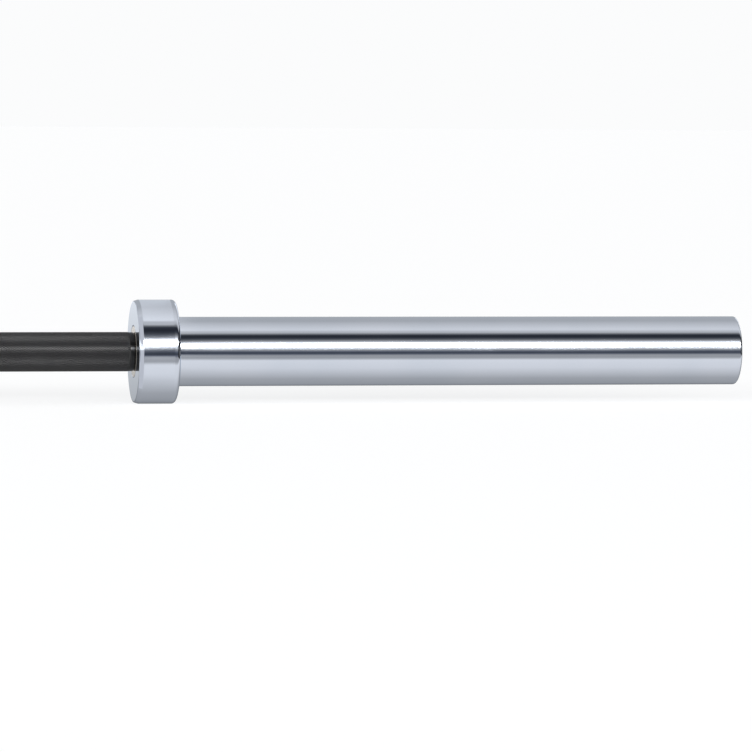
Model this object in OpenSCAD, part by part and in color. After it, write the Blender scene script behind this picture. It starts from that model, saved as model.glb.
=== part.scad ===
// Olympic barbell: a knurled steel shaft that carries two free-spinning chromed sleeves.
// The bar lies along X. The origin is the middle of its axis, +X is its right end, +Z is up.

/* [Shaft] */
// Length of the grip, between the inner faces of the two collars
grip_span = 1310; // [1290:1:1330]
// Diameter of the shaft on its smooth stretches
shaft_d = 28; // [27:0.1:30]
// Length of the smooth stretch in the middle of the shaft
smooth_middle = 416; // [300:1:600]
// Distance between the two inner grip marks, centre to centre
inner_marks = 810; // [700:1:830]
// Distance between the two outer grip marks, centre to centre
outer_marks = 910; // [890:1:1000]
// Width of one grip mark
mark_w = 4.5; // [2:0.5:8]
// How far a grip mark is cut below the smooth surface
mark_sink = 0.3; // [0.1:0.05:0.6]
// How far the roots of the knurl lie below the smooth surface
knurl_sink = 0.1; // [0.05:0.05:0.3]
// Width of the smooth land beside each collar
land_w = 5; // [2:0.5:15]
// Height of the shoulder that stops the sleeve from sliding inwards
shoulder_h = 1.3; // [0.9:0.1:2]
// Chamfer on the edge of the shoulder
shoulder_bevel = 0.4; // [0.1:0.1:0.8]
// Length of shaft left beyond each retaining ring
tail_len = 3; // [2:0.5:5]
// Chamfer on the two ends of the shaft
tail_bevel = 1; // [0.2:0.1:2]

/* [Sleeve] */
// Length of sleeve that takes weight plates, outside the collar
sleeve_len = 415; // [380:1:445]
// Outside diameter of the sleeve
sleeve_d = 50; // [49:0.1:50.5]
// Chamfer on the outer end of the sleeve
sleeve_bevel = 2; // [0.5:0.1:3]
// How far the sleeve is turned down where the collar sits on it
seat_step = 0.5; // [0.2:0.1:1]

/* [Collar] */
// Outside diameter of the collar
collar_d = 75; // [66:0.5:90]
// Width of the collar
collar_w = 30; // [20:0.5:40]
// Chamfer on the edge that faces the grip
collar_bevel_in = 2.5; // [0.5:0.1:4]
// Chamfer on the edge that faces the plates
collar_bevel_out = 1.2; // [0.5:0.1:4]
// Thickness of the collar's web behind the bushing's flange
web_t = 2; // [1:0.5:4]
// Chamfer where the collar's bore meets the sleeve
collar_bore_bevel = 0.6; // [0.2:0.1:1]

/* [Bushings] */
// Wall of the bronze bushings, and so of the gap between journal and sleeve
bush_wall = 1.85; // [1.5:0.05:2.5]
// Length of a bushing, with its flange
bush_len = 32; // [20:1:50]
// Outside diameter of a bushing's flange
flange_d = 37.7; // [36:0.1:39]
// Thickness of a bushing's flange
flange_t = 3; // [2:0.5:5]
// Chamfer on the edge of a bushing's flange and of its seat
flange_bevel = 0.35; // [0.1:0.05:0.6]
// Radial clearance between a bushing and the journal that runs in it
run_gap = 0.05; // [0.02:0.01:0.1]
// End float of a sleeve at the shoulder, and again at the thrust washer
end_float = 0.3; // [0.2:0.05:0.5]

/* [Retaining stack] */
// Depth of the pocket for the retaining stack, from the sleeve's outer end
pocket_depth = 26; // [24:1:60]
// Thickness of the bronze thrust washer
thrust_t = 1.5; // [1:0.1:2]
// Thickness of the steel washer
washer_t = 2.5; // [1.5:0.1:3]
// Thickness of the shim that takes up the end play
shim_t = 0.5; // [0.2:0.1:1]
// Gap between a washer's edge and the pocket's wall
washer_gap = 1.2; // [0.8:0.1:1.5]
// Radial clearance between a washer's bore and the journal
washer_fit = 0.1; // [0.05:0.05:0.2]
// Thickness of the retaining ring on the shaft
ring_t = 1.5; // [1:0.1:2]
// Radial width of the retaining ring
ring_w = 3; // [2:0.1:3.4]
// Depth of the retaining ring's groove in the shaft
ring_sink = 1; // [0.5:0.1:1.5]
// Angle of the opening in a retaining or snap ring
ring_opening = 40; // [20:5:60]
// Radius of a ring's lug, round its plier hole
lug_r = 2.2; // [1.8:0.1:2.5]
// Diameter of a ring's plier hole
lug_hole_d = 2; // [1:0.1:2.5]

/* [End cap] */
// Thickness of the end cap
cap_t = 3; // [2:0.5:5]
// Width of the step in the sleeve that the cap rests on
cap_step = 2.1; // [1:0.1:2.5]
// Depth of the dish in the cap's outer face
cap_dish = 0.8; // [0.2:0.1:1.2]
// Width of the raised rim round the dish
cap_rim = 6; // [4:0.5:8]
// Thickness of the snap ring that holds the cap
snap_t = 1.5; // [1:0.1:2]
// Radial width of the snap ring
snap_w = 2.6; // [2:0.1:3]
// Depth of the snap ring's groove in the sleeve
snap_sink = 0.8; // [0.4:0.1:1]
// Depth of the sleeve's lip beyond the snap ring
lip_depth = 1.5; // [1:0.1:3]

/* [Hidden] */
$fn = 96;

chrome = [0.80, 0.82, 0.86];
black_steel = [0.17, 0.17, 0.18];
bronze = [0.72, 0.55, 0.36];
plain_steel = [0.62, 0.63, 0.65];
spring_steel = [0.30, 0.31, 0.34];

// Radii, all from the diameters above
shaft_r = shaft_d / 2;
knurl_root_r = shaft_r - knurl_sink;
mark_r = shaft_r - mark_sink;
journal_r = shaft_r - shoulder_h;
ring_groove_r = journal_r - ring_sink;
bush_bore_r = journal_r + run_gap;
bush_r = bush_bore_r + bush_wall;
flange_r = flange_d / 2;
sleeve_r = sleeve_d / 2;
seat_r = sleeve_r - seat_step;
collar_r = collar_d / 2;
mouth_r = flange_r + cap_step;
mouth_wall = sleeve_r - mouth_r;
end_bevel = min(sleeve_bevel, mouth_wall / 2);
washer_r = flange_r - washer_gap;

// Places along the right half of the bar
collar_in = grip_span / 2;
sleeve_in = collar_in + flange_t + web_t;
collar_out = collar_in + collar_w;
sleeve_end = collar_out + sleeve_len;
shoulder_x = collar_in - end_float;
pocket_in = sleeve_end - pocket_depth;
thrust_x = pocket_in + flange_t + end_float;
washer_x = thrust_x + thrust_t;
shim_x = washer_x + washer_t;
ring_x = shim_x + shim_t;
ring_out = ring_x + ring_t;
shaft_end = ring_out + tail_len;
snap_out = sleeve_end - lip_depth;
snap_x = snap_out - snap_t;
cap_x = snap_x - cap_t;

// Two outline points, [radius, place], of a stretch of constant radius
function stretch(from, to, radius) = [[radius, from], [radius, to]];

// An outline's mirror image, in the order that carries on from it
function mirrored(points) = [for (i = [len(points) - 1:-1:0]) [points[i][0], -points[i][1]]];

// Turns a section about the bar's axis: its x is the radius, its y the place along the bar
module turned() {
    rotate([0, 90, 0]) rotate_extrude() children();
}

// Puts a right-hand piece on the left end of the bar
module on_left() {
    mirror([1, 0, 0]) children();
}

// A flat open ring with a lug and a plier hole at each end; lugs_in puts the lugs inside it
module open_ring(place, thick, inner, width, lugs_in) {
    outer = inner + width;
    lug_at = lugs_in ? outer - lug_r : inner + lug_r;
    half = ring_opening / 2;
    lug_turn = half + asin(lug_r / lug_at);
    reach = outer + lug_r;
    translate([place, 0, 0]) rotate([0, 90, 0]) linear_extrude(thick) difference() {
        union() {
            difference() {
                circle(outer);
                circle(inner);
                polygon([[0, 0], for (side = [1, -1]) 2 * reach * [-cos(half), side * sin(half)]]);
            }
            for (side = [1, -1])
                rotate(180 + side * lug_turn) translate([lug_at, 0]) circle(lug_r);
        }
        for (side = [1, -1])
            rotate(180 + side * lug_turn) translate([lug_at, 0]) circle(d = lug_hole_d);
    }
}

// A flat washer round the journal
module washer(place, thick) {
    turned() translate([journal_r + washer_fit, place])
        square([washer_r - journal_r - washer_fit, thick]);
}

// The whole shaft in one turning: smooth middle, knurl roots, grip marks, journals and ring grooves
module shaft() {
    marks = [inner_marks / 2, outer_marks / 2];
    right_half = concat(
        [[shaft_r, smooth_middle / 2]],
        stretch(smooth_middle / 2, marks[0] - mark_w / 2, knurl_root_r),
        stretch(marks[0] - mark_w / 2, marks[0] + mark_w / 2, mark_r),
        stretch(marks[0] + mark_w / 2, marks[1] - mark_w / 2, knurl_root_r),
        stretch(marks[1] - mark_w / 2, marks[1] + mark_w / 2, mark_r),
        stretch(marks[1] + mark_w / 2, collar_in - land_w, knurl_root_r),
        stretch(collar_in - land_w, shoulder_x - shoulder_bevel, shaft_r),
        [[shaft_r - shoulder_bevel, shoulder_x]],
        stretch(shoulder_x, ring_x, journal_r),
        stretch(ring_x, ring_out, ring_groove_r),
        stretch(ring_out, shaft_end - tail_bevel, journal_r),
        [[journal_r - tail_bevel, shaft_end], [0, shaft_end]]
    );
    color(black_steel) turned() polygon(concat(mirrored(right_half), right_half));
}

// The chromed tube that takes the plates: the collar's seat at its inner end, and in its outer end
// the pocket for the retaining stack and the step that the cap rests on
module right_sleeve() {
    color(chrome) turned() polygon([
        [bush_r, sleeve_in], [seat_r, sleeve_in], [seat_r, collar_out],
        [sleeve_r, collar_out],
        [sleeve_r, sleeve_end - end_bevel], [sleeve_r - end_bevel, sleeve_end],
        [mouth_r, sleeve_end], [mouth_r, snap_out],
        [mouth_r + snap_sink, snap_out], [mouth_r + snap_sink, snap_x],
        [mouth_r, snap_x], [mouth_r, cap_x],
        [flange_r, cap_x], [flange_r, pocket_in],
        [bush_r, pocket_in]
    ]);
}

// The stop for the plates: a ring shrunk on the sleeve, with a web that seats the bushing's flange
module right_collar() {
    color(chrome) turned() polygon([
        [flange_r + flange_bevel, collar_in],
        [collar_r - collar_bevel_in, collar_in], [collar_r, collar_in + collar_bevel_in],
        [collar_r, collar_out - collar_bevel_out], [collar_r - collar_bevel_out, collar_out],
        [sleeve_r + collar_bore_bevel, collar_out],
        [seat_r, collar_out - collar_bore_bevel - seat_step],
        [seat_r, sleeve_in], [bush_r, sleeve_in],
        [bush_r, collar_in + flange_t], [flange_r, collar_in + flange_t],
        [flange_r, collar_in + flange_bevel]
    ]);
}

// A flanged bronze bushing; way is 1 where its body points outwards from the flange and -1 inwards
module bushing(flange_face, way) {
    color(bronze) turned() polygon([
        [bush_bore_r, flange_face], [flange_r - flange_bevel, flange_face],
        [flange_r, flange_face + way * flange_bevel], [flange_r, flange_face + way * flange_t],
        [bush_r, flange_face + way * flange_t], [bush_r, flange_face + way * bush_len],
        [bush_bore_r, flange_face + way * bush_len]
    ]);
}

// The bushing whose flange shows in the collar's inner face
module right_inner_bushing() {
    bushing(collar_in, 1);
}

// The bushing at the outer end, its flange against the bottom of the pocket
module right_outer_bushing() {
    bushing(pocket_in + flange_t, -1);
}

// The bronze washer that the outer bushing's flange runs against
module right_thrust_washer() {
    color(bronze) washer(thrust_x, thrust_t);
}

// The steel washer that spreads the thrust
module right_steel_washer() {
    color(plain_steel) washer(washer_x, washer_t);
}

// The shim that takes up the end play
module right_shim() {
    color(plain_steel) washer(shim_x, shim_t);
}

// The open ring in the shaft's groove that keeps the sleeve on
module right_retaining_ring() {
    color(spring_steel) open_ring(ring_x, ring_t, ring_groove_r, ring_w, false);
}

// The disc that closes the sleeve, with a bare dished face
module right_end_cap() {
    color(chrome) turned() polygon([
        [0, cap_x], [mouth_r, cap_x], [mouth_r, cap_x + cap_t],
        [mouth_r - cap_rim, cap_x + cap_t], [mouth_r - cap_rim - cap_dish, cap_x + cap_t - cap_dish],
        [0, cap_x + cap_t - cap_dish]
    ]);
}

// The open ring in the sleeve's groove that keeps the cap in
module right_snap_ring() {
    color(spring_steel) open_ring(snap_x, snap_t, mouth_r + snap_sink - snap_w, snap_w, true);
}

module left_sleeve() { on_left() right_sleeve(); }
module left_collar() { on_left() right_collar(); }
module left_inner_bushing() { on_left() right_inner_bushing(); }
module left_outer_bushing() { on_left() right_outer_bushing(); }
module left_thrust_washer() { on_left() right_thrust_washer(); }
module left_steel_washer() { on_left() right_steel_washer(); }
module left_shim() { on_left() right_shim(); }
module left_retaining_ring() { on_left() right_retaining_ring(); }
module left_end_cap() { on_left() right_end_cap(); }
module left_snap_ring() { on_left() right_snap_ring(); }

shaft();
right_sleeve();
right_collar();
right_inner_bushing();
right_outer_bushing();
right_thrust_washer();
right_steel_washer();
right_shim();
right_retaining_ring();
right_end_cap();
right_snap_ring();
left_sleeve();
left_collar();
left_inner_bushing();
left_outer_bushing();
left_thrust_washer();
left_steel_washer();
left_shim();
left_retaining_ring();
left_end_cap();
left_snap_ring();
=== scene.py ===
# %% [markdown]
# # A knurled bar with two spinning sleeves
# The part is a straight steel bar, 2.2 m long, that carries weight plates on two chromed sleeves.
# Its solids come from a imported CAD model, one node for each real piece. This lesson dresses them:
# the pieces that show are turned again with finer, softer edges, the grip gets its cut diamonds,
# and every surface gets a finish. The bar lies along X, its middle is the origin, and Z is up.

import math

import bmesh
import bpy
import numpy as np
from mathutils import Matrix, Vector


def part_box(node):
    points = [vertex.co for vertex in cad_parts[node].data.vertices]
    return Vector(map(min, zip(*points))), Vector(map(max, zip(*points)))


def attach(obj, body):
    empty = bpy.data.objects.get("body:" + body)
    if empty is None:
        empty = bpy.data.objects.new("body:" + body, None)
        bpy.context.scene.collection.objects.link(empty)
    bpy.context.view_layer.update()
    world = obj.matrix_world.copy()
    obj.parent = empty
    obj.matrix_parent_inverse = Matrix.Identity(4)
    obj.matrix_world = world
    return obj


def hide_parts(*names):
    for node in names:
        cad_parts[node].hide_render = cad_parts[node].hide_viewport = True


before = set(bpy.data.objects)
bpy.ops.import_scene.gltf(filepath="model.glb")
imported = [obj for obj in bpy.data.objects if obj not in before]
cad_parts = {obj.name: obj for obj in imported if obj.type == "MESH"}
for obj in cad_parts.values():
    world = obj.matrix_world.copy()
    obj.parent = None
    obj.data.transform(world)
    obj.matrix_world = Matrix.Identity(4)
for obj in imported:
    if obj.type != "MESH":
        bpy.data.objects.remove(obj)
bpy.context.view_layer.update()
MM = 0.001
SIDES = {"right": 1, "left": -1}

# %% [markdown]
# ## Sizes read from the solids
# What a box can't tell, such as a bore or a chamfer, is a number in the step that needs it. Several
# steps need to know where the knurl stops, so the smooth middle, the grip marks and the land stand
# here.


# %% Sizes
def reach(node):
    """(nearest end, farthest end, radius) of a right-hand node, in millimetres along the bar."""
    low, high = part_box(node)
    return low[0] / MM, high[0] / MM, max(*high[1:], -low[1], -low[2]) / MM


collar_in, collar_out, collar_r = reach("right_collar")
sleeve_in, sleeve_end, sleeve_r = reach("right_sleeve")
flange_in, bushing_end, flange_r = reach("right_inner_bushing")
cap_in, cap_out, mouth_r = reach("right_end_cap")
snap_in, snap_out, groove_r = reach("right_snap_ring")
keeper_in, keeper_out, _ = reach("right_retaining_ring")
shaft_end, shaft_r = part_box("shaft")[1][0] / MM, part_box("shaft")[1][2] / MM
smooth_half, marks, mark_w, land_w = 208.0, (405.0, 455.0), 4.5, 3.6


def shown(*sizes):
    """Sizes in millimetres, rounded for printing."""
    return [round(size, 2) for size in sizes]


print("collar", shown(collar_in, collar_out, collar_r), "sleeve", shown(sleeve_in, sleeve_end, sleeve_r))
print("shaft", shown(shaft_end, shaft_r), "cap", shown(cap_in, cap_out, mouth_r))
print("snap ring", shown(snap_in, snap_out, groove_r), "retaining ring", shown(keeper_in, keeper_out))

# %% [markdown]
# ## The camera
# The picture shows the right sleeve close to, from a little left of the collar and a few degrees
# above the bar. A camera could be aimed with a constraint, but numbers that were fitted to the
# picture's edges put the collar, the sleeve and its end where they belong. The long lens stands
# 3.4 m away, turned a little and rolled by under half a degree, so that the bar lies level.

# %% Camera
FRAME_PX, FOCAL_PX, SENSOR = 752, 4762.5, 36.0
DISTANCE, CAMERA_HEIGHT = 3.4, 3.0
stand = Vector((0.2346, -DISTANCE, DISTANCE * math.tan(math.radians(CAMERA_HEIGHT))))
yaw, pitch, roll = (math.radians(angle) for angle in (9.972, -3.2544, 0.390))
ahead = Vector((math.sin(yaw) * math.cos(pitch), math.cos(yaw) * math.cos(pitch), math.sin(pitch)))
side = Vector((math.cos(yaw), -math.sin(yaw), 0.0))
upright = side.cross(ahead)
across = side * math.cos(roll) + upright * math.sin(roll)
up = upright * math.cos(roll) - side * math.sin(roll)


def show(name, data):
    """A new object of the scene that holds this camera, lamp, curve or mesh."""
    thing = bpy.data.objects.new(name, data)
    bpy.context.scene.collection.objects.link(thing)
    return thing


camera = show("camera", bpy.data.cameras.new("camera"))
camera.matrix_world = Matrix.Translation(stand) @ Matrix((across, up, -ahead)).transposed().to_4x4()
camera.data.sensor_width = SENSOR
camera.data.lens = FOCAL_PX / FRAME_PX * SENSOR
camera.data.clip_start, camera.data.clip_end = 0.05, 60.0
bpy.context.scene.camera = camera
bpy.context.scene.view_settings.view_transform = "Standard"
print("lens", round(camera.data.lens, 1), "mm")

# %% [markdown]
# ## A short way to write nodes
# Finishes, light and shapes are all built as node trees here. This helper adds one node and fills
# its inputs: a plain value is typed in, and another node's output is linked. Keys are input names,
# or numbers where a node has several inputs of one name, as the Math node does.


# %% Node helper
def put(tree, kind, inputs=None, **settings):
    """Adds a node of this kind to the tree, with its settings and inputs."""
    node = tree.nodes.new(kind)
    for key, value in settings.items():
        setattr(node, key, value)
    for key, value in (inputs or {}).items():
        if isinstance(value, bpy.types.NodeSocket):
            tree.links.new(value, node.inputs[key])
        else:
            node.inputs[key].default_value = value
    return node


def calc(tree, operation, *values):
    """A Math node's result. A value is a number or another node's output."""
    return put(tree, "ShaderNodeMath", dict(enumerate(values)), operation=operation).outputs[0]


print("node helpers ready")

# %% [markdown]
# ## Light
# Polished chrome has almost no colour of its own: it shows the room. In the picture each cylinder
# carries the same stripes, a dark one, a burning white one and a dark one, because a long
# softbox hangs between dark flags in front of a white sweep. Lamps could be placed one by one, but
# stripes that run along the bar are a plain rule: brightness against the angle round the bar's
# axis. So the world holds a ramp of that angle, which only glossy rays see. Each stop says at which
# angle above the camera something hangs and how grey it looks in chrome. Blender keeps a ramp as 256
# steps, here 1.4 degrees each, so stops that lie closer together would blur. The real studio is small,
# so the thick collar sees each thing a few degrees off, and it gets a ramp of its own.

# %% The studio round the bar
SOFTBOX = 12.0
CHROME_GREY = 0.80
FLAG_GREY, FLAG_BLUE = 100, 1.25
SWEEP = [(178.7, 248), (-179.0, 131), (-160, 122)]
TABLE = [(-140, 148), (-105, 160), (-80, 186), (-58, 206), (-31, 213)]
TABLE_EDGE = [(-26, 173), (-22.5, 150)]
LOW_FLAG = [(-14.5, 149), (-9.5, 86), (-6.2, 60), (-1.5, 84), (4, 140)]
BOX_LIGHT = [(9.5, 0.76), (12.5, 1.02), (16, SOFTBOX), (24, SOFTBOX), (27, 1.5), (29.5, 0.95)]
HIGH_FLAG = [(32.5, 165), (38, 100), (43.5, 56), (49, 38), (55, 50), (60.5, 128)]
CEILING = [(64, 172), (68, 180), (76, 206), (90, 195), (120, 166)]
COLLAR_TABLE = [(-140, 145), (-105, 160), (-68, 192), (-50, 213), (-28, 218)]
COLLAR_TABLE_EDGE = [(-24.3, 179), (-21.5, 161)]
COLLAR_LOW_FLAG = [(-12.2, 177), (-8.7, 82), (-6, 46), (-1, 62), (3.5, 76)]
COLLAR_BOX = [(7.5, 0.5), (10.5, 1.0), (14.5, SOFTBOX), (23, SOFTBOX), (25.5, 1.3), (27.5, 0.8)]
COLLAR_HIGH_FLAG = [(30, 118), (35, 74), (41, 47), (48, 38), (55, 53), (59, 120)]
COLLAR_CEILING = [(61.7, 183), (68.5, 181), (73, 224), (96, 209), (115, 197)]


def light_of(grey):
    """How bright the room has to be for chrome to show this grey, from 0 to 255."""
    return ((grey / 255 + 0.055) / 1.055) ** 2.4 / CHROME_GREY


def ramp_place(angle):
    """Where an angle seen from the camera lies on the ramp, which starts behind the bar."""
    return ((angle + CAMERA_HEIGHT + 180) % 360) / 360


world = bpy.data.worlds.new("studio")
bpy.context.scene.world = world
world.use_nodes = True
room = world.node_tree
room.nodes.clear()
look = put(room, "ShaderNodeTexCoord").outputs["Generated"]
aim = put(room, "ShaderNodeSeparateXYZ", {"Vector": look}).outputs
angle_round = calc(room, "ARCTAN2", aim["Z"], calc(room, "MULTIPLY", aim["Y"], -1.0))
turn = calc(room, "MULTIPLY_ADD", angle_round, 0.5 / math.pi, 0.5)


def hang(greys, box):
    """A ramp of stripes: some by the grey they show in chrome, the softbox by its strength."""
    lights = [(ramp_place(angle), light_of(grey), FLAG_BLUE if grey < FLAG_GREY else 1.0)
              for angle, grey in greys]
    lights += [(ramp_place(angle), strength, 1.0) for angle, strength in box]
    ramp = put(room, "ShaderNodeValToRGB", {"Fac": turn})
    stops = ramp.color_ramp.elements
    for number, (place, light, blue) in enumerate(sorted(lights)):
        stop = stops.new(place) if number > 1 else stops[number]
        stop.position = place
        share = light / SOFTBOX
        stop.color = (share / blue ** 0.5, share, share * blue, 1.0)
    print("stripes hung:", len(stops))
    return ramp.outputs["Color"]


sleeve_stripes = hang(SWEEP + TABLE + TABLE_EDGE + LOW_FLAG + HIGH_FLAG + CEILING, BOX_LIGHT)
collar_stripes = hang(SWEEP + COLLAR_TABLE + COLLAR_TABLE_EDGE + COLLAR_LOW_FLAG + COLLAR_HIGH_FLAG
                      + COLLAR_CEILING, COLLAR_BOX)

# %% [markdown]
# Real flags and softboxes end somewhere. On the left the stripes stop at a pale wall with a small
# window, which lights the collar's chamfer. On the right a black flag closes the softbox and draws
# the thin dark line round the sleeve's end, and a wall beyond it is there for the end faces. A
# second, dimmer softbox with its own flag hangs behind the bar, so that it looks like chrome from the
# back too. Each of them is a range of the reflected direction's X or Z, from -1 to 1, or of its
# angle round the bar, in degrees.


# %% Walls and flags
NEAR_WALL, SIDE_WALL, END_WALL, WINDOW = (0.20, 0.52), (0.76, 0.86), (0.992, 0.997), (0.13, 0.21)
NEAR_FLAG, SIDE_FLAG, FLAG_HEIGHT = (0.36, 0.46), (0.76, 0.84), (-0.14, 0.48)
SLANT, BACK_BOX, BACK_FLAG = (0.30, 0.40), (147, 163), (167, 182)
WALL_LIGHT, WINDOW_LIGHT = 0.63, 0.7


def ease(value, start, end):
    """0 before start, 1 after end, and a soft change between them."""
    return put(room, "ShaderNodeMapRange", {"Value": value, "From Min": start, "From Max": end},
               interpolation_type="SMOOTHSTEP").outputs[0]


def between(value, low, high, soft):
    """1 between low and high, and 0 outside, with soft edges."""
    below_high = calc(room, "SUBTRACT", 1.0, ease(value, high, high + soft))
    return calc(room, "MULTIPLY", ease(value, low - soft, low), below_high)


leftwards = calc(room, "MULTIPLY", aim["X"], -1.0)
front = calc(room, "LESS_THAN", aim["Y"], 0.0)
slanting = ease(calc(room, "ABSOLUTE", aim["X"]), *SLANT)
wall_near = calc(room, "MULTIPLY", front, between(leftwards, *NEAR_WALL, 0.08))
left_wall = calc(room, "MAXIMUM", wall_near, ease(leftwards, *SIDE_WALL))
in_window = between(aim["Z"], *WINDOW, 0.03)
wall_light = calc(room, "MULTIPLY_ADD", in_window, WINDOW_LIGHT, WALL_LIGHT)
flag_near = calc(room, "MULTIPLY", front, ease(aim["X"], *NEAR_FLAG))
flag_side = calc(room, "MAXIMUM", flag_near, ease(aim["X"], *SIDE_FLAG))
right_flag = calc(room, "MULTIPLY", flag_side, between(aim["Z"], *FLAG_HEIGHT, 0.06))
right_wall = ease(aim["X"], *END_WALL)


def behind_bar(degrees, soft):
    """A stripe behind the bar, which only mirrors that face aside can see."""
    low, high = (math.radians(angle) for angle in degrees)
    return calc(room, "MULTIPLY", slanting, between(angle_round, low, high, soft))


back_box, back_flag = behind_bar(BACK_BOX, 0.02), behind_bar(BACK_FLAG, 0.03)
print("nodes for stripes, walls and flags:", len(room.nodes))

# %% [markdown]
# The room is put together in layers, from the stripes at the back to the walls in front. For mirrors
# that face aside the softbox is dimmed, because a very bright edge would show as steps there. Three
# kinds of ray see three rooms: the camera sees a pale sweep, mirrors see the layers, and matt
# surfaces see an even light with a low band in front, which pushes the soft shadow back. The band
# lies at the softbox's height, because light sampling lets a trace of it reach the mirrors too.


# %% The world's output
COLLAR_VIEW, DIMMING, SWEEP_TONE = (0.118, 0.130), 0.8, 0.976
BAND, BAND_LIGHT, EVEN_LIGHT = (0.19, 0.27), 32.0, 0.27


def backdrop(colour, strength):
    """One even part of the world."""
    return put(room, "ShaderNodeBackground", {"Color": colour, "Strength": strength}).outputs[0]


def pick(share, low, high):
    """Mixes two parts of the world."""
    return put(room, "ShaderNodeMixShader", {0: share, 1: low, 2: high}).outputs[0]


over_collar = between(aim["X"], *COLLAR_VIEW, 0.0035)
both_stripes = put(room, "ShaderNodeMix", {"Factor": over_collar, "A": sleeve_stripes, "B": collar_stripes},
                   data_type="RGBA").outputs["Result"]
box_limit = calc(room, "MULTIPLY_ADD", slanting, -DIMMING, 1.0)
dimmed = put(room, "ShaderNodeVectorMath", {0: both_stripes, 1: box_limit}, operation="MINIMUM")
in_mirrors = backdrop(dimmed.outputs[0], SOFTBOX)
for share, grey, strength in ((back_flag, 0.12, 1.0), (back_box, 1.0, 1.4), (right_flag, 0.035, 1.0),
                              (right_wall, 0.72, 1.0), (left_wall, 1.0, wall_light)):
    in_mirrors = pick(share, in_mirrors, backdrop((grey, grey, grey * 1.02, 1.0), strength))
low_band = calc(room, "MULTIPLY", front, between(aim["Z"], *BAND, 0.01))
on_matt = backdrop((1.0, 1.0, 1.0, 1.0), calc(room, "MULTIPLY_ADD", low_band, BAND_LIGHT, EVEN_LIGHT))
behind = backdrop((SWEEP_TONE * 0.99, SWEEP_TONE * 0.995, SWEEP_TONE, 1.0), 1.0)
ray = put(room, "ShaderNodeLightPath").outputs
whole_room = pick(ray["Is Camera Ray"], pick(ray["Is Glossy Ray"], on_matt, in_mirrors), behind)
put(room, "ShaderNodeOutputWorld", {"Surface": whole_room})
print("world nodes:", len(room.nodes))

# %% [markdown]
# One softbox above and in front gives the matt knurl a little shape. Mirrors don't see it, because
# the ramp already holds its reflection.


# %% Softbox
def softbox(name, place, aim_at, width, height, watts):
    """A rectangular lamp at a place, turned to a point, that mirrors don't see."""
    lamp = bpy.data.lights.new(name, "AREA")
    lamp.shape, lamp.size, lamp.size_y, lamp.energy = "RECTANGLE", width, height, watts
    holder = show(name, lamp)
    holder.location = place
    holder.rotation_euler = (Vector(aim_at) - Vector(place)).to_track_quat("-Z", "Y").to_euler()
    holder.visible_glossy = False
    holder.visible_camera = False


softbox("softbox_front", (0.3, -2.4, 1.5), aim_at=(0.3, 0.1, 0.0), width=4.0, height=0.8, watts=8.0)

# %% [markdown]
# ## Floor
# A wide pale floor touches the lowest point of the two collars. Product tables are often lit from
# below, so that the ground burns out to white and only a breath of shadow stays. So most of this
# floor's tone is its own glow, and the rest is light that falls on it and can be shaded. Its far
# parts end in the same tone as the sweep, so no horizon shows. Mirrors pass through it, because the
# lower half of the ramp stands for it.

# %% Floor
HALF_FLOOR, GLOW, LIT_SHARE = 40.0, 1.015, 0.2
floor_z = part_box("right_collar")[0][2]
corners = [(x * HALF_FLOOR, y * HALF_FLOOR, floor_z) for x, y in ((-1, -1), (1, -1), (1, 1), (-1, 1))]
floor_mesh = bpy.data.meshes.new("floor")
floor_mesh.from_pydata(corners, [], [(0, 1, 2, 3)])
floor = show("floor", floor_mesh)
floor.visible_glossy = False
pale = bpy.data.materials.new("pale_floor")
pale.use_nodes = True
ground = pale.node_tree
matt = ground.nodes["Principled BSDF"]
matt.inputs["Base Color"].default_value = (0.94, 0.945, 0.955, 1.0)
matt.inputs["Roughness"].default_value = 0.95
matt.inputs["Specular IOR Level"].default_value = 0.0
glow = put(ground, "ShaderNodeEmission", {"Color": (0.99, 0.995, 1.0, 1.0), "Strength": GLOW})
table = put(ground, "ShaderNodeMixShader", {0: LIT_SHARE, 1: glow.outputs[0], 2: matt.outputs[0]})
ground.links.new(table.outputs[0], ground.nodes["Material Output"].inputs["Surface"])
floor_mesh.materials.append(pale)
print("floor at", round(floor_z / MM, 2), "mm")

# %% [markdown]
# ## Finishes
# Each finish is one procedural material. Patterns are read from Object coordinates, in metres, so
# they have their real size and turn with the sleeve. `around` is the distance from the bar's axis,
# which tells a face from its centre outwards, and `lengthways` is the place along the bar.


# %% Finish helper
def finish(name, metallic, colour, roughness, ior=1.5):
    """A new material: (material, its tree, shader, Object coordinates, lengthways, around)."""
    material = bpy.data.materials.new(name)
    material.use_nodes = True
    tree = material.node_tree
    shader = tree.nodes["Principled BSDF"]
    shader.inputs["Metallic"].default_value = metallic
    shader.inputs["Base Color"].default_value = (*colour, 1.0)
    shader.inputs["Roughness"].default_value = roughness
    shader.inputs["IOR"].default_value = ior
    material.diffuse_color = (*colour, 1.0)
    place = put(tree, "ShaderNodeTexCoord").outputs["Object"]
    split = put(tree, "ShaderNodeSeparateXYZ", {"Vector": place}).outputs
    squares = [calc(tree, "POWER", split[axis], 2.0) for axis in ("Y", "Z")]
    around = calc(tree, "SQRT", calc(tree, "ADD", *squares))
    return material, tree, shader, place, split["X"], around


def rings(tree, line, per_metre):
    """Fine turning marks: noise that changes along one line only."""
    turns = calc(tree, "MULTIPLY", line, per_metre)
    return put(tree, "ShaderNodeTexNoise", {"W": turns, "Scale": 1.0, "Detail": 2.0},
               noise_dimensions="1D").outputs["Fac"]


def blotches(tree, place, per_metre, detail=2.0, stretch=(1.0, 1.0, 1.0)):
    """Soft patches with this many features to the metre."""
    spot = put(tree, "ShaderNodeMapping", {"Vector": place, "Scale": stretch}).outputs["Vector"]
    values = {"Vector": spot, "Scale": per_metre, "Detail": detail}
    return put(tree, "ShaderNodeTexNoise", values).outputs["Fac"]


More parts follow.
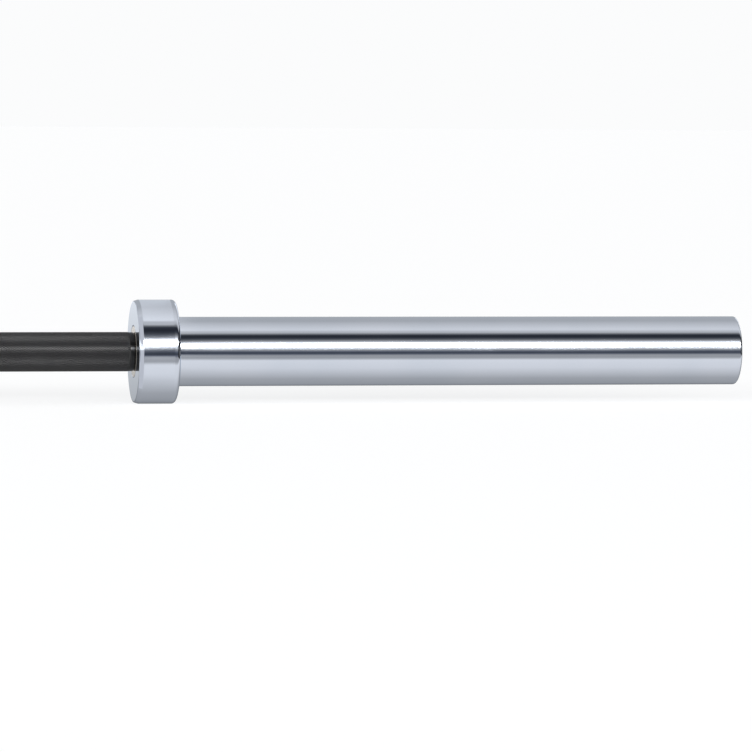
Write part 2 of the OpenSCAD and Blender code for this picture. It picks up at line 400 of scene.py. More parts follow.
def spread(tree, value, low, high, start=0.3, end=0.7):
    """Turns the range from start to end, a pattern's middle range, into low to high."""
    ranges = {"Value": value, "From Min": start, "From Max": end, "To Min": low, "To Max": high}
    return put(tree, "ShaderNodeMapRange", ranges).outputs[0]


def tone(tree, value, dark, light):
    """A colour between dark and light, led by a pattern from 0 to 1."""
    ends = {"Factor": value, "A": (*dark, 1.0), "B": (*light, 1.0)}
    return put(tree, "ShaderNodeMix", ends, data_type="RGBA").outputs["Result"]


def dent(tree, height, depth, after=None, strength=1.0):
    """A bump of this depth in metres, on top of an earlier one."""
    inputs = {"Height": height, "Distance": depth, "Strength": strength}
    if after is not None:
        inputs["Normal"] = after
    return put(tree, "ShaderNodeBump", inputs).outputs["Normal"]


print("finish helpers ready")

# %% [markdown]
# ### Chrome
# The sleeves and collars are ground on a lathe and then chromed. Close to, the plating shows three
# things: fine rings from the grinding, a slow waviness that makes the stripes swim a little along
# the sleeve, and patches where it is slightly duller. A flat mirror would look like computer
# graphics, so each of the three gets its own pattern at its own size. The collar's inner face is
# polished flat, so it keeps only a small share of the waviness.


# %% Chrome
def make_chrome():
    """Plated steel: ground and slightly wavy, but nearly flat on the collar's inner face."""
    parts = finish("ground_chrome", 1.0, (0.745, 0.795, 0.895), 0.06)
    material, tree, shader, place, lengthways, _ = parts
    shader.inputs["Specular Tint"].default_value = (0.92, 0.96, 1.0, 1.0)
    slow = blotches(tree, place, 14.0, 1.0, (0.35, 1.0, 1.0))
    grind = rings(tree, lengthways, 2600.0)
    grain = blotches(tree, place, 1500.0, 1.0, (1.0, 0.15, 0.15))
    lapped = calc(tree, "LESS_THAN", calc(tree, "ABSOLUTE", lengthways), (collar_in + 0.02) * MM)
    wavy = calc(tree, "SUBTRACT", 1.0, calc(tree, "MULTIPLY", lapped, 0.85))
    normal = dent(tree, slow, 0.00010, strength=wavy)
    normal = dent(tree, grind, 0.0000006, normal, wavy)
    normal = dent(tree, grain, 0.0000012, normal, wavy)
    tree.links.new(normal, shader.inputs["Normal"])
    dull = spread(tree, blotches(tree, place, 60.0, 3.0, (0.5, 1.0, 1.0)), 0.04, 0.08)
    polish = put(tree, "ShaderNodeMix", {"Factor": lapped, "A": dull, "B": 0.04}).outputs[0]
    tree.links.new(polish, shader.inputs["Roughness"])
    film = spread(tree, blotches(tree, place, 22.0, 2.0), 0.0, 1.0)
    plating = tone(tree, film, (0.725, 0.778, 0.878), (0.76, 0.808, 0.905))
    tree.links.new(plating, shader.inputs["Base Color"])
    return material


chrome = make_chrome()
print("made", chrome.name)

# %% [markdown]
# ### Black coating
# The shaft is coated black. Where it is smooth the coat is glossy and mirrors the softbox as one
# sharp line. On the knurl the same coat is matt, because the cutting tore up the surface, and the
# diamonds' tips are rubbed a little paler by hands and racks. The distance from the axis tells
# a tip from a root, so the wear lands on the tips by itself.


# %% Black coating, smooth and knurled
TIP_STARTS, TIP_ENDS = 14.10, 14.15


def make_black_smooth():
    """The glossy coat of the smooth parts, its reflection halved on the land by the collar as painted shade.
    """
    parts = finish("black_smooth", 0.0, (0.010, 0.010, 0.011), 0.15, 1.6)
    material, tree, shader, place, lengthways, _ = parts
    turned = rings(tree, lengthways, 1800.0)
    faint = blotches(tree, place, 40.0, 3.0, (0.3, 1.0, 1.0))
    normal = dent(tree, blotches(tree, place, 10.0, 1.0), 0.00008)
    tree.links.new(dent(tree, turned, 0.000001, normal), shader.inputs["Normal"])
    tree.links.new(spread(tree, faint, 0.15, 0.23), shader.inputs["Roughness"])
    coat = tone(tree, spread(tree, faint, 0.0, 1.0), (0.002, 0.002, 0.002), (0.004, 0.004, 0.004))
    tree.links.new(coat, shader.inputs["Base Color"])
    # Painted shade: on the land beside the collar the coat's reflection is halved, standing in for the shade
    # in the corner at the collar.
    land = collar_in - land_w
    from_middle = calc(tree, "ABSOLUTE", lengthways)
    gloss_with_painted_shade = spread(tree, from_middle, 0.5, 0.25, land * MM, (land + 1.0) * MM)
    tree.links.new(gloss_with_painted_shade, shader.inputs["Specular IOR Level"])
    return material


def make_black_knurl():
    """The matt coat of the diamonds, rubbed paler and smoother on their tips."""
    parts = finish("black_knurl", 0.0, (0.010, 0.010, 0.011), 0.42, 1.6)
    material, tree, shader, place, _, around = parts
    shader.inputs["Specular IOR Level"].default_value = 0.32
    tip = spread(tree, around, 0.0, 1.0, TIP_STARTS * MM, TIP_ENDS * MM)
    grit = blotches(tree, place, 2600.0, 2.0)
    patches = spread(tree, blotches(tree, place, 70.0, 3.0, (0.5, 1.0, 1.0)), 0.3, 1.0)
    rubbed = calc(tree, "MULTIPLY", tip, patches)
    coat = tone(tree, rubbed, (0.0045, 0.0045, 0.0045), (0.0125, 0.0125, 0.0145))
    tree.links.new(coat, shader.inputs["Base Color"])
    rough = calc(tree, "SUBTRACT", spread(tree, grit, 0.36, 0.46), calc(tree, "MULTIPLY", tip, 0.14))
    tree.links.new(rough, shader.inputs["Roughness"])
    tree.links.new(dent(tree, grit, 0.000012), shader.inputs["Normal"])
    return material


black_smooth, black_knurl = make_black_smooth(), make_black_knurl()
print("made", black_smooth.name, black_knurl.name)

# %% [markdown]
# ### Bronze, washer steel and spring steel
# The bearings are bronze, turned and left bare, so their faces show fine rings about the centre and
# a few darker, oxidised patches. The washers are bright steel with the same rings, and the spring
# rings are hardened and nearly black, with paler rubbed spots. They sit inside the sleeve, and each
# has its finish all the same.


# %% Bearing and ring metals
def make_turned(name, dark, light, roughness, bump):
    """A bare metal with turning rings on its faces and its body, and darker patches."""
    material, tree, shader, place, lengthways, around = finish(name, 1.0, light, roughness)
    face = rings(tree, around, 4200.0)
    body = rings(tree, lengthways, 4200.0)
    patch = blotches(tree, place, 160.0, 4.0)
    normal = dent(tree, face, bump)
    tree.links.new(dent(tree, body, bump, normal), shader.inputs["Normal"])
    tree.links.new(tone(tree, spread(tree, patch, 0.0, 1.0), dark, light), shader.inputs["Base Color"])
    tree.links.new(spread(tree, face, roughness - 0.06, roughness + 0.08), shader.inputs["Roughness"])
    return material


bronze = make_turned("turned_bronze", (0.68, 0.63, 0.56), (0.80, 0.765, 0.71), 0.14, 0.0000008)
washer_steel = make_turned("bright_washer_steel", (0.44, 0.45, 0.47), (0.60, 0.61, 0.63), 0.32, 0.000003)
spring_steel = make_turned("dark_spring_steel", (0.045, 0.045, 0.052), (0.13, 0.13, 0.145), 0.45, 0.000002)
print("made", bronze.name, washer_steel.name, spring_steel.name)

# %% [markdown]
# ## Shapes made of nodes
# The turned pieces and the knurl each come from a small Geometry Nodes tree, which says the rule of
# the shape itself. Both trees ask the points of a grid for their row and column and move them to
# (place, radius x cos, radius x sin), so these steps, and a tree's first and last ones, are helpers.


# %% Tree helpers
def open_tree(name, inputs):
    """A new tree with these inputs: (tree, the inputs' identifiers, the inputs' values)."""
    tree = bpy.data.node_groups.new(name, "GeometryNodeTree")
    identifiers = {}
    for label, kind in inputs.items():
        made = tree.interface.new_socket(name=label, in_out="INPUT", socket_type="NodeSocket" + kind)
        identifiers[label] = made.identifier
    tree.interface.new_socket(name="Geometry", in_out="OUTPUT", socket_type="NodeSocketGeometry")
    return tree, identifiers, put(tree, "NodeGroupInput").outputs


def row_and_column(tree, columns):
    """Which row and which column of a grid each of its points belongs to."""
    index = put(tree, "GeometryNodeInputIndex").outputs[0]
    row = calc(tree, "FLOOR", calc(tree, "DIVIDE", calc(tree, "ADD", index, 0.5), columns))
    return row, calc(tree, "SUBTRACT", index, calc(tree, "MULTIPLY", row, columns))


def move_round(tree, shape, along, radius, angle):
    """Moves each point of a shape to its place along the bar, its radius and its angle."""
    spot = put(tree, "ShaderNodeCombineXYZ", {
        "X": along,
        "Y": calc(tree, "MULTIPLY", radius, calc(tree, "COSINE", angle)),
        "Z": calc(tree, "MULTIPLY", radius, calc(tree, "SINE", angle))}).outputs[0]
    return put(tree, "GeometryNodeSetPosition", {"Geometry": shape, "Position": spot}).outputs[0]


def hand_over(tree, shape, weld, smooth, metal):
    """Welds points closer than a distance, sets shading and finish, and ends the tree."""
    welded = put(tree, "GeometryNodeMergeByDistance", {"Geometry": shape, "Distance": weld}).outputs[0]
    shaded = put(tree, "GeometryNodeSetShadeSmooth", {"Geometry": welded, "Shade Smooth": smooth}).outputs[0]
    real = put(tree, "GeometryNodeRealizeInstances", {"Geometry": shaded}).outputs[0]
    dressed = put(tree, "GeometryNodeSetMaterial", {"Geometry": real, "Material": metal}).outputs[0]
    put(tree, "NodeGroupOutput", {"Geometry": dressed})


print("tree helpers ready")

# %% [markdown]
# Most pieces are turned: one outline swept round the bar's axis. A Screw modifier or Spin could do
# it too, but they leave a seam to clean up. This lathe lays out a grid, one row for each point of the
# outline and one column for each step of the turn. Every grid point takes its place and radius from
# its row's outline point, and the seam and the points on the axis are merged.


# %% Lathe tree
WELD = 0.000002
LATHE_VALUES = {"Outline": "Geometry", "Steps": "Int", "Closed": "Int", "Finish": "Material"}


def lathe_tree():
    """Sweeps the points of an outline round the bar's axis."""
    tree, identifiers, given = open_tree("lathe", LATHE_VALUES)
    count = put(tree, "GeometryNodeAttributeDomainSize", {"Geometry": given["Outline"]},
                component="MESH").outputs["Point Count"]
    columns = calc(tree, "ADD", given["Steps"], 1.0)
    rows = calc(tree, "ADD", count, given["Closed"])
    grid = put(tree, "GeometryNodeMeshGrid", {"Vertices X": rows, "Vertices Y": columns}).outputs["Mesh"]
    row, column = row_and_column(tree, columns)
    here = put(tree, "GeometryNodeInputPosition").outputs[0]
    corner = {"Geometry": given["Outline"], "Value": here, "Index": calc(tree, "MODULO", row, count)}
    point = put(tree, "GeometryNodeSampleIndex", corner, data_type="FLOAT_VECTOR", domain="POINT")
    flat = put(tree, "ShaderNodeSeparateXYZ", {"Vector": point.outputs["Value"]}).outputs
    angle = calc(tree, "DIVIDE", calc(tree, "MULTIPLY", column, -2.0 * math.pi), given["Steps"])
    swept = move_round(tree, grid, flat["X"], flat["Y"], angle)
    hand_over(tree, swept, WELD, True, given["Finish"])
    return tree, identifiers


LATHE, LATHE_INPUTS = lathe_tree()
print("lathe inputs:", list(LATHE_INPUTS))

# %% [markdown]
# A tree is run by a modifier. Its inputs are set by their identifiers before Blender first looks at
# the object, then the evaluated result is copied into a plain mesh and the modifier goes. A last
# step turns all faces outwards and prints whether the shell is closed.


# %% Running a tree
def run_tree(name, start, tree, identifiers, values):
    """The mesh that a tree makes from a start mesh, as a new plain object."""
    maker = show(name, start)
    modifier = maker.modifiers.new("shape", "NODES")
    modifier.node_group = tree
    for key, value in values.items():
        modifier[identifiers[key]] = value
    bpy.context.view_layer.update()
    made = bpy.data.meshes.new_from_object(maker.evaluated_get(bpy.context.evaluated_depsgraph_get()))
    maker.modifiers.remove(modifier)
    maker.data = made
    made.name = name
    return maker


def close_up(piece, weld=0.0):
    """Welds near points where asked, turns the faces outwards and says whether the shell is closed."""
    shell = bmesh.new()
    shell.from_mesh(piece.data)
    if weld:
        bmesh.ops.remove_doubles(shell, verts=shell.verts, dist=weld)
    bmesh.ops.recalc_face_normals(shell, faces=shell.faces)
    if shell.calc_volume(signed=True) < 0:
        bmesh.ops.reverse_faces(shell, faces=shell.faces)
    gaps = sum(not edge.is_manifold for edge in shell.edges)
    shell.to_mesh(piece.data)
    volume = shell.calc_volume() * 1e6
    shell.free()
    triangles = sum(len(face.vertices) - 2 for face in piece.data.polygons)
    print(f"{piece.name}: {triangles} triangles, {volume:.1f} cm3, open edges {gaps}")
    return piece


print("ready to run trees")

# %% [markdown]
# ## Outlines with soft corners
# No turned edge is truly sharp, and a tiny rounding catches the light as a thin bright line. Each
# corner of an outline is (place, radius, rounding) in millimetres. The helper swaps it for a small
# arc and adds one point a little way along each flat, so that smooth shading stays on the
# rounding and the long flats keep their true reflections.


# %% Outline helper
FLAT_SHARE, GUARD, LEAST_GUARD, ROOMY = 0.45, 0.6, 0.06, 2.4


def soften(corners, closed=True):
    """Points of an outline whose corners are rounded, each corner being (x, r, rounding)."""
    count, points = len(corners), []
    for i, (x, r, rounding) in enumerate(corners):
        here = np.array([x, r], float)
        ends = not closed and i in (0, count - 1)
        if rounding <= 0 or ends:
            points.append(here)
            continue
        back = np.array(corners[i - 1][:2], float) - here
        on = np.array(corners[(i + 1) % count][:2], float) - here
        room_back, room_on = np.linalg.norm(back), np.linalg.norm(on)
        back, on = back / room_back, on / room_on
        half = math.acos(float(np.clip(back @ on, -1, 1))) / 2
        cut = min(rounding / math.tan(half), FLAT_SHARE * room_back, FLAT_SHARE * room_on)
        radius = cut * math.tan(half)
        middle = here + (back + on) / np.linalg.norm(back + on) * radius / math.sin(half)
        first, last = here + back * cut - middle, here + on * cut - middle
        sweep = math.atan2(first[0] * last[1] - first[1] * last[0], first @ last)
        extra = max(GUARD * rounding, LEAST_GUARD)
        steps = 4 if rounding < 1 else 9
        if room_back > ROOMY * (cut + extra):
            points.append(here + back * (cut + extra))
        for k in range(steps + 1):
            a = sweep * k / steps
            spin = np.array([[math.cos(a), -math.sin(a)], [math.sin(a), math.cos(a)]])
            points.append(middle + spin @ first)
        if room_on > ROOMY * (cut + extra):
            points.append(here + on * (cut + extra))
    return points


def turn_piece(name, corners, metal, side="right", closed=True, steps=192):
    """Turns an outline into a piece on its side of the bar."""
    points = [(x * MM, r * MM, 0.0) for x, r in soften(corners, closed)]
    if side == "left":
        points = [(-x, r, z) for x, r, z in reversed(points)]
    start = bpy.data.meshes.new(name + "_outline")
    start.from_pydata(points, [(i, i + 1) for i in range(len(points) - 1)], [])
    values = {"Steps": steps, "Closed": int(closed), "Finish": metal}
    return close_up(run_tree(name, start, LATHE, LATHE_INPUTS, values))


print("outline of a test corner:", len(soften([(0, 0, 0), (10, 0, 1), (10, 10, 0)], closed=False)), "points")

# %% [markdown]
# ## The shaft
# One steel bar runs through the whole part: a smooth middle, knurled stretches, four narrow grip
# marks, a shoulder at each collar and a thinner journal inside each sleeve. Under the knurl the
# turned bar is two tenths of a millimetre thinner, because the cut diamonds are laid over it as
# pieces of their own. Half of the outline is written down, and the other half is its mirror image.

# %% Shaft
journal_r, keeper_r, mark_r = 12.7, 11.7, shaft_r - 0.3
under, tuck, root_r = shaft_r - 0.2, 0.10, shaft_r - 0.06
shoulder = collar_in - 0.3
half_bar = [(smooth_half - tuck, shaft_r, 0.05), (smooth_half - tuck, under, 0)]
for mark in marks:
    near, far = mark - mark_w / 2 - tuck, mark + mark_w / 2 + tuck
    half_bar += [(near, under, 0), (near, mark_r, 0.06), (far, mark_r, 0.06), (far, under, 0)]
half_bar += [
    (collar_in - land_w + tuck, under, 0), (collar_in - land_w + tuck, shaft_r, 0.05),
    (shoulder - 0.4, shaft_r, 0.15), (shoulder, shaft_r - 0.4, 0.12), (shoulder, journal_r, 0.15),
    (keeper_in, journal_r, 0.05), (keeper_in, keeper_r, 0.05), (keeper_out, keeper_r, 0.05),
    (keeper_out, journal_r, 0.05), (shaft_end - 1.0, journal_r, 0.1), (shaft_end, journal_r - 1.0, 0.1),
    (shaft_end, 0, 0),
]
bar_outline = [(-x, r, f) for x, r, f in reversed(half_bar)] + half_bar
shaft_bar = turn_piece("shaft_bar", bar_outline, black_smooth, closed=False, steps=160)
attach(shaft_bar, "shaft")
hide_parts("shaft")

# %% [markdown]
# ## The knurl
# Knurling rolls two sets of helical grooves over the bar, and what stays between them is a field of
# small diamonds. They could be faked with a bump, but the silhouette would stay smooth and an
# exported model would lose them. So each diamond is real: a four-sided cone with a flat tip, placed
# on two interleaved grids of a flat sheet. One side of the sheet is the bar's length and the other is
# the angle. Each diamond is a hair higher or lower than the next, as on a cut surface.


# %% Diamonds on a flat sheet
def one_diamond(tree, given, half_length, half_step):
    """A cone with four sides and a flat tip, one unit high, without its bottom face."""
    shape = {"Vertices": 4, "Radius Top": given["Flat"], "Radius Bottom": 1.0, "Depth": 1.0}
    cone = put(tree, "GeometryNodeMeshCone", shape, fill_type="NGON").outputs
    point = put(tree, "GeometryNodeDeleteGeometry", {"Geometry": cone["Mesh"], "Selection": cone["Bottom"]},
                domain="FACE").outputs[0]
    half = put(tree, "ShaderNodeCombineXYZ", {"X": half_length, "Y": half_step, "Z": 1.0}).outputs[0]
    return put(tree, "GeometryNodeTransform", {"Geometry": point, "Scale": half}).outputs[0]


def field(tree, given, diamond, step, rows, shift_x, shift_y, seed):
    """One grid of diamonds on the flat sheet."""
    span_x = calc(tree, "MULTIPLY", calc(tree, "SUBTRACT", rows, 1.0), given["Diamond"])
    span_y = calc(tree, "MULTIPLY", calc(tree, "SUBTRACT", given["Starts"], 1.0), step)
    size = {"Size X": span_x, "Size Y": span_y, "Vertices X": rows, "Vertices Y": given["Starts"]}
    grid = put(tree, "GeometryNodeMeshGrid", size).outputs["Mesh"]
    near = calc(tree, "ADD", given["From"], shift_x)
    centre = put(tree, "ShaderNodeCombineXYZ", {
        "X": calc(tree, "ADD", calc(tree, "MULTIPLY", span_x, 0.5), near),
        "Y": calc(tree, "ADD", calc(tree, "MULTIPLY", span_y, 0.5), shift_y)}).outputs[0]
    moved = put(tree, "GeometryNodeTransform", {"Geometry": grid, "Translation": centre}).outputs[0]
    rise = put(tree, "FunctionNodeRandomValue", {"Min": 0.9, "Max": 1.0, "Seed": seed}, data_type="FLOAT")
    height = next(value for value in rise.outputs if value.enabled)
    size = put(tree, "ShaderNodeCombineXYZ", {"X": 1.0, "Y": 1.0, "Z": height}).outputs[0]
    return put(tree, "GeometryNodeInstanceOnPoints",
               {"Points": moved, "Instance": diamond, "Scale": size}).outputs[0]


def join(tree, *parts):
    """Several shapes as one."""
    whole = put(tree, "GeometryNodeJoinGeometry")
    for part in parts:
        tree.links.new(part, whole.inputs[0])
    return whole.outputs[0]


print("diamond helpers ready")

# %% [markdown]
# The sheet is then wrapped round the bar. Its diamonds fade out over the last millimetre, where the
# knurling wheel lifts off. The wrapped sheet is open at both ends, so a thin liner that sits in the
# bar closes it into a solid shell.


# %% Knurl tree
SHEET_WELD = 0.00001
KNURL_VALUES = {"Start": "Geometry", "From": "Float", "Diamond": "Float", "Rows": "Int", "Starts": "Int",
                "Root": "Float", "Height": "Float", "Flat": "Float", "Inner": "Float", "Fade": "Float",
                "Seed": "Int", "Finish": "Material"}


def wrap_sheet(tree, given, sheet, end):
    """The flat sheet bent round the bar, with lower diamonds at both ends."""
    here = put(tree, "GeometryNodeInputPosition").outputs[0]
    flat = put(tree, "ShaderNodeSeparateXYZ", {"Vector": here}).outputs
    x = calc(tree, "MINIMUM", calc(tree, "MAXIMUM", flat["X"], given["From"]), end)
    edge = calc(tree, "MINIMUM", calc(tree, "SUBTRACT", x, given["From"]), calc(tree, "SUBTRACT", end, x))
    fading = spread(tree, edge, 0.35, 1.0, 0.0, given["Fade"])
    rise = calc(tree, "MULTIPLY", calc(tree, "MULTIPLY", flat["Z"], given["Height"]), fading)
    return move_round(tree, sheet, x, calc(tree, "ADD", given["Root"], rise), flat["Y"])


def line_ends(tree, given, step, length):
    """A liner of four rings: the sheet's two ends, and two thinner ones inside the bar."""
    columns = calc(tree, "ADD", calc(tree, "MULTIPLY", given["Starts"], 2.0), 1.0)
    grid = put(tree, "GeometryNodeMeshGrid", {"Vertices X": 4, "Vertices Y": columns}).outputs["Mesh"]
    row, column = row_and_column(tree, columns)
    far = calc(tree, "GREATER_THAN", row, 1.5)
    inside = calc(tree, "LESS_THAN", calc(tree, "ABSOLUTE", calc(tree, "SUBTRACT", row, 1.5)), 1.0)
    along = calc(tree, "MULTIPLY_ADD", far, length, given["From"])
    depth = calc(tree, "SUBTRACT", given["Inner"], given["Root"])
    radius = calc(tree, "MULTIPLY_ADD", inside, depth, given["Root"])
    angle = calc(tree, "MULTIPLY", column, calc(tree, "MULTIPLY", step, 0.5))
    return move_round(tree, grid, along, radius, angle)


def knurl_tree():
    """Two fields of diamonds on a sheet, wrapped round the bar and closed by a liner."""
    tree, identifiers, given = open_tree("knurl", KNURL_VALUES)
    step = calc(tree, "DIVIDE", 2.0 * math.pi, given["Starts"])
    length = calc(tree, "MULTIPLY", given["Diamond"], given["Rows"])
    half_length = calc(tree, "MULTIPLY", given["Diamond"], 0.5)
    half_step = calc(tree, "MULTIPLY", step, 0.5)
    diamond = one_diamond(tree, given, half_length, half_step)
    first = field(tree, given, diamond, step, given["Rows"], half_length, 0.0, given["Seed"])
    more_rows, next_seed = (calc(tree, "ADD", given[label], 1.0) for label in ("Rows", "Seed"))
    second = field(tree, given, diamond, step, more_rows, 0.0, half_step, next_seed)
    sheet = put(tree, "GeometryNodeRealizeInstances", {"Geometry": join(tree, first, second)}).outputs[0]
    wrapped = wrap_sheet(tree, given, sheet, calc(tree, "ADD", given["From"], length))
    whole = join(tree, wrapped, line_ends(tree, given, step, length))
    hand_over(tree, whole, SHEET_WELD, False, given["Finish"])
    return tree, identifiers


KNURL, KNURL_INPUTS = knurl_tree()
print("knurl inputs:", list(KNURL_INPUTS))

# %% [markdown]
# The bar has six knurled stretches: from the smooth middle to the inner marks, between the marks,
# and from the outer marks to the smooth land at the collar, on both sides. Sixty starts round the bar
# and grooves at 30 degrees give diamonds about 1.5 mm wide and 2.5 mm long. Each stretch holds a
# whole number of them, so their length gives way by a hair. The blunt tips still mirror the softbox
# as the bar would, and the steep flanks mirror it higher and lower, which gives the knurl its three
# pale stripes.

# %% Knurled stretches
DIAMOND, CREST, TIP_SHARE, STARTS, FADE, LINER = 2.5, 0.24, 0.58, 60, 1.2, 0.3
stretches = {
    "inner": (smooth_half, marks[0] - mark_w / 2),
    "middle": (marks[0] + mark_w / 2, marks[1] - mark_w / 2),
    "outer": (marks[1] + mark_w / 2, collar_in - land_w),
}
for side_name, sign in SIDES.items():
    for number, (label, (near, far)) in enumerate(stretches.items()):
        rows = round((far - near) / DIAMOND)
        values = {
            "From": min(sign * near, sign * far) * MM, "Diamond": (far - near) / rows * MM, "Rows": rows,
            "Starts": STARTS, "Root": root_r * MM, "Height": CREST * MM, "Flat": TIP_SHARE,
            "Inner": (root_r - LINER) * MM, "Fade": FADE * MM,
            "Seed": 10 * number + (5 if sign < 0 else 0), "Finish": black_knurl}
        start = bpy.data.meshes.new("start")
        band = run_tree(f"knurl_{side_name}_{label}", start, KNURL, KNURL_INPUTS, values)
        close_up(band)
        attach(band, "shaft")

# %% [markdown]
# ## Sleeves and collars
# The sleeve is a chromed tube. Its inner end sits in the collar on a slightly thinner seat, and its
# outer end holds a pocket, a step for the cap and a groove for the snap ring. The collar is a
# ring shrunk on that seat. Its inner face is polished flat, so it mirrors the shaft. A long shallow
# bevel leads from that face to the rim, and a generous rounding turns from the rim to the plates.

# %% Sleeves and collars
seat_r, bush_r, flange_t, pocket_in = 24.5, 14.6, 3.0, sleeve_end - 26.0
sleeve_outline = [
    (sleeve_in, bush_r, 0), (sleeve_in, seat_r, 0), (collar_out, seat_r, 0), (collar_out, sleeve_r, 0.1),
    (sleeve_end, sleeve_r, 2.0), (sleeve_end, mouth_r, 0.15),
    (snap_out, mouth_r, 0.08), (snap_out, groove_r, 0.05),
    (snap_in, groove_r, 0.05), (snap_in, mouth_r, 0.08),
    (cap_in, mouth_r, 0), (cap_in, flange_r, 0.1), (pocket_in, flange_r, 0.1), (pocket_in, bush_r, 0),
]
collar_outline = [
    (collar_in + 0.35, flange_r, 0), (collar_in, flange_r + 0.35, 0.1),
    (collar_in, collar_r - 1.0, 0.7), (collar_in + 3.2, collar_r, 1.0), (collar_out, collar_r, 2.8),
    (collar_out, sleeve_r + 0.6, 0.15), (collar_out - 1.1, seat_r, 0), (sleeve_in, seat_r, 0),
    (sleeve_in, bush_r, 0), (collar_in + flange_t, bush_r, 0), (collar_in + flange_t, flange_r, 0),
]
for side_name in SIDES:
    tube = turn_piece(side_name + "_sleeve_tube", sleeve_outline, chrome, side_name)
    ring = turn_piece(side_name + "_collar_ring", collar_outline, chrome, side_name)
    for piece, node in ((tube, side_name + "_sleeve"), (ring, side_name + "_collar")):
        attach(piece, side_name + "_sleeve")
        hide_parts(node)

# %% [markdown]
# ## Bushings and end caps
# The flange of the inner bushing shows as a thin bronze ring in the collar's face. The end cap is a
# shallow dished disc, bare of any marking. Both are turned like the rest.

# %% Bushings and caps
bore_r, rim_r = 12.75, flange_r - 0.3
bushing_outline = [
    (flange_in, bore_r, 0.1), (flange_in, rim_r - 0.3, 0.1), (flange_in + 0.3, rim_r, 0.1),
    (flange_in + flange_t, rim_r, 0.05), (flange_in + flange_t, bush_r, 0.05), (bushing_end, bush_r, 0.05),
    (bushing_end, bore_r, 0.05),
]
cap_outline = [
    (cap_in, 0, 0), (cap_in, mouth_r, 0.05), (cap_out, mouth_r, 0.15), (cap_out, mouth_r - 6.0, 0.3),
    (cap_out - 0.8, mouth_r - 6.8, 0.3), (cap_out - 0.8, 0, 0),
]
for side_name in SIDES:
    bushing = turn_piece(side_name + "_flanged_bushing", bushing_outline, bronze, side_name)
    disc = turn_piece(side_name + "_cap_disc", cap_outline, chrome, side_name, closed=False)
    for piece, label, metal in ((bushing, "_inner_bushing", "bronze"), (disc, "_end_cap", "chrome")):
        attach(piece, side_name + "_sleeve")
        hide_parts(side_name + label)

# %% [markdown]
# ## Snap rings
# The snap ring in the sleeve's mouth is stamped from flat spring steel: an open ring with a
# lug and a plier hole at each end. A turned ring has no opening, so this piece is drawn as a flat
# curve instead, the outer edge and two holes, which Blender fills, thickens and bevels in one go.


# %% Snap ring
def arc(radius, start, end, count, at=(0.0, 0.0)):
    """Points of an arc from start to end, in radians, about a point."""
    angles = [start + (end - start) * k / count for k in range(count + 1)]
    return [(at[0] + radius * math.cos(angle), at[1] + radius * math.sin(angle)) for angle in angles]


def ring_edge(outer, width, lug, opening):
    """The edge of an open ring whose ends carry inward lugs, and the places of the lugs."""
    inner, at = outer - width, outer - lug
    half = math.radians(opening) / 2
    lug_turn = math.pi - half - math.asin(lug / at)
    meet = (inner ** 2 + at ** 2 - lug ** 2) / (2 * at)
    lean = math.atan2(math.sqrt(max(inner ** 2 - meet ** 2, 0.0)), meet)
    edge = arc(outer, -(math.pi - half), math.pi - half, 160)
    for sign in (1, -1):
        middle = (at * math.cos(sign * lug_turn), at * math.sin(sign * lug_turn))
        touch = sign * (math.pi - half) + sign * math.pi / 2
        inner_end = sign * (lug_turn - lean)
        spot = (inner * math.cos(inner_end) - middle[0], inner * math.sin(inner_end) - middle[1])
        leave = math.atan2(spot[1], spot[0])
        start, stop = (touch, leave) if sign > 0 else (leave, touch)
        while stop < start:
            stop += 2 * math.pi
        edge += arc(lug, start, stop, 24, middle)
        if sign > 0:
            edge += arc(inner, inner_end, -inner_end, 150)[1:-1]
    return edge, [(at * math.cos(s * lug_turn), at * math.sin(s * lug_turn)) for s in (1, -1)]


RIM_ROUNDING, PLIER_HOLE = 0.12, 1.0


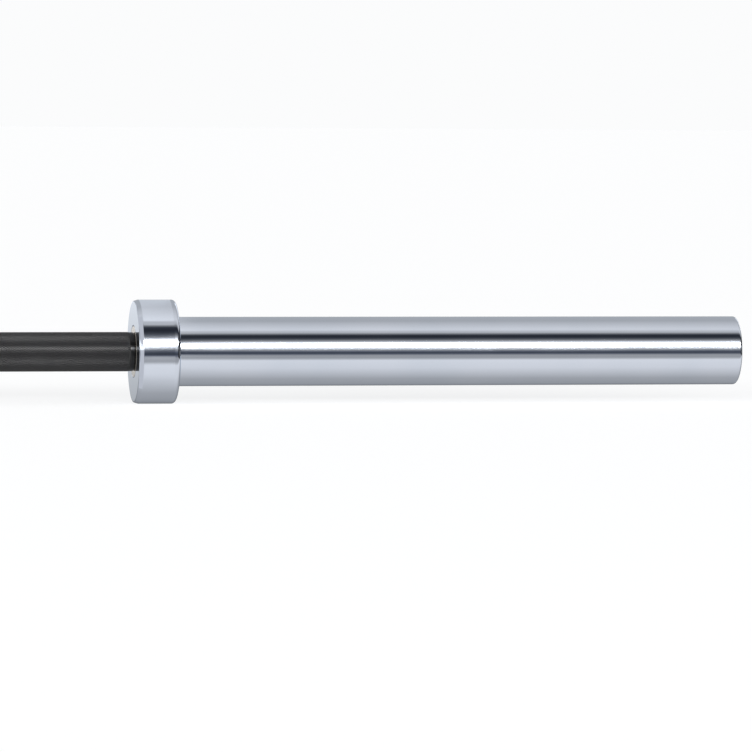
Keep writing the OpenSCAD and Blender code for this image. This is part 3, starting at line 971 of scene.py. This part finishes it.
def stamped_ring(name, edge, holes, near, thick, metal):
    """Fills the drawn edge, thickens it along the bar and softens its rim."""
    curve = bpy.data.curves.new(name + "_drawing", "CURVE")
    curve.dimensions, curve.fill_mode = "2D", "BOTH"
    curve.bevel_depth, curve.bevel_resolution = RIM_ROUNDING * MM, 2
    curve.offset = -RIM_ROUNDING * MM
    curve.extrude = (thick / 2 - RIM_ROUNDING) * MM
    for loop in [edge] + [arc(PLIER_HOLE, 0, 2 * math.pi, 24, hole)[:-1] for hole in holes]:
        line = curve.splines.new("POLY")
        line.points.add(len(loop) - 1)
        for spot, (u, v) in zip(line.points, loop):
            spot.co = (u * MM, v * MM, 0.0, 1.0)
        line.use_cyclic_u = True
    drawing = show(name + "_drawing", curve)
    bpy.context.view_layer.update()
    mesh = bpy.data.meshes.new_from_object(drawing.evaluated_get(bpy.context.evaluated_depsgraph_get()))
    bpy.data.objects.remove(drawing)
    middle = (near + thick / 2 * (1 if near > 0 else -1)) * MM
    mesh.transform(Matrix.Translation((middle, 0, 0)) @ Matrix.Rotation(math.pi / 2, 4, "Y"))
    mesh.materials.clear()
    mesh.materials.append(metal)
    return close_up(show(name, mesh), weld=WELD)


RING_WIDTH, LUG, OPENING = 2.6, 2.2, 40.0
edge, holes = ring_edge(groove_r, RING_WIDTH, LUG, OPENING)
thick = snap_out - snap_in
for side_name, sign in SIDES.items():
    clip = stamped_ring(side_name + "_mouth_ring", edge, holes, sign * snap_in, thick, spring_steel)
    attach(clip, side_name + "_sleeve")
    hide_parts(side_name + "_snap_ring")

# %% [markdown]
# ## The solids that stay
# The outer bushing, the washers, the shim and the retaining ring sit inside the sleeve. Their solids
# already have the right shape, so they stay as they are and only get their finishes. The solids that
# dressed pieces replace get theirs too, so that no node is left bare.

# %% Finishes for the inner solids
INNER = {"outer_bushing": bronze, "thrust_washer": bronze, "steel_washer": washer_steel,
         "shim": washer_steel, "retaining_ring": spring_steel}
REPLACED = {"sleeve": chrome, "collar": chrome, "end_cap": chrome, "inner_bushing": bronze,
            "snap_ring": spring_steel}
metal_of = {"shaft": black_smooth}
for side_name in SIDES:
    for label, metal in {**INNER, **REPLACED}.items():
        metal_of[f"{side_name}_{label}"] = metal
for node_name, metal in metal_of.items():
    solid = bpy.data.objects[node_name]
    for slot in solid.material_slots:
        slot.material = metal
    if not solid.material_slots:
        solid.data.materials.append(metal)
print("dressed solids:", len(metal_of))
